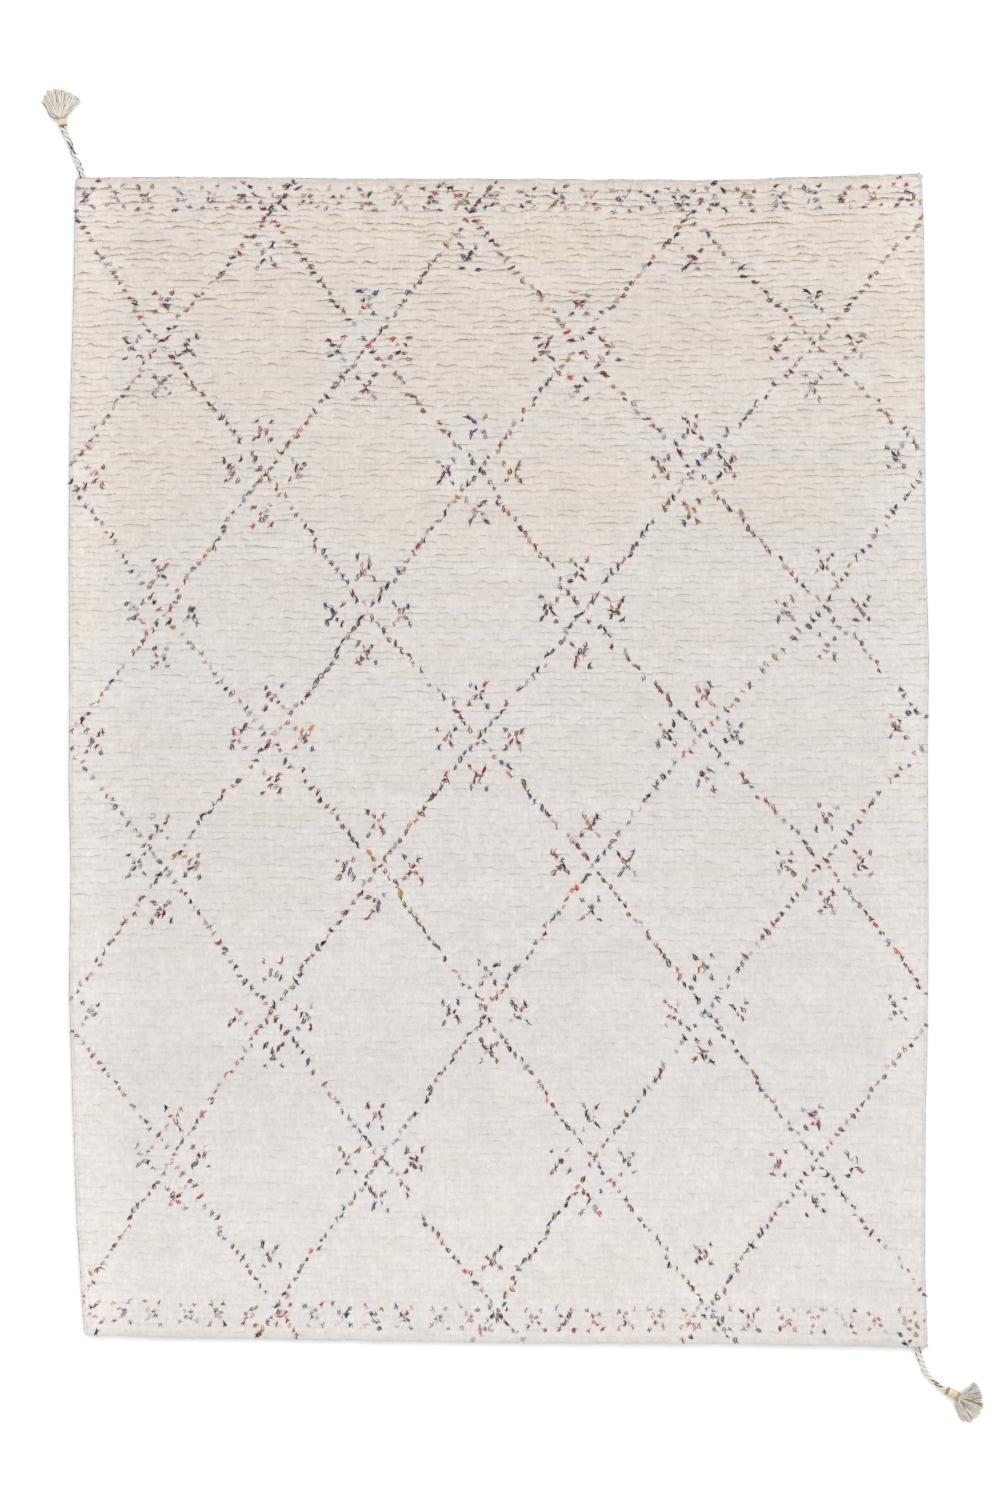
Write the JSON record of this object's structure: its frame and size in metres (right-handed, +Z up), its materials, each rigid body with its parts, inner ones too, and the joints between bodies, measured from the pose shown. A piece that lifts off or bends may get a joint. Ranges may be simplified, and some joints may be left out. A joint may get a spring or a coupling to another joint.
{
  "type": "moroccan rug",
  "caption": "Flat hand-knotted wool rug with a shaggy cream pile, a coloured diamond lattice, and a twisted cord with a tassel at two opposite corners.",
  "frame": {"origin": "middle of the rug's underside, on the floor it lies on", "axes": "+Z up out of the pile, +Y along the rug's length towards the end whose left corner has a tassel, +X to the right seen from above"},
  "size_m": [1.9477, 2.7629, 0.0243],
  "materials": {
    "pile_wool": "soft knotted wool pile, warm white with cream streaks",
    "coloured_yarn": "tufts of mixed dark, red, blue, orange and yellow wool",
    "ground_weave": "plain woven wool ground with overcast edges",
    "cord_yarn": "three twisted plies of off-white yarn with a few dark and red strands",
    "gold_thread": "wound golden yellow thread",
    "tassel_yarn": "loose off-white yarn ends"
  },
  "bodies": {
    "root": {"rug": "pile_wool", "cord_far_left": "cord_yarn", "binding_far_left": "gold_thread", "tassel_far_left": "tassel_yarn", "cord_near_right": "cord_yarn", "binding_near_right": "gold_thread", "tassel_near_right": "tassel_yarn"}
  },
  "joints": []
}
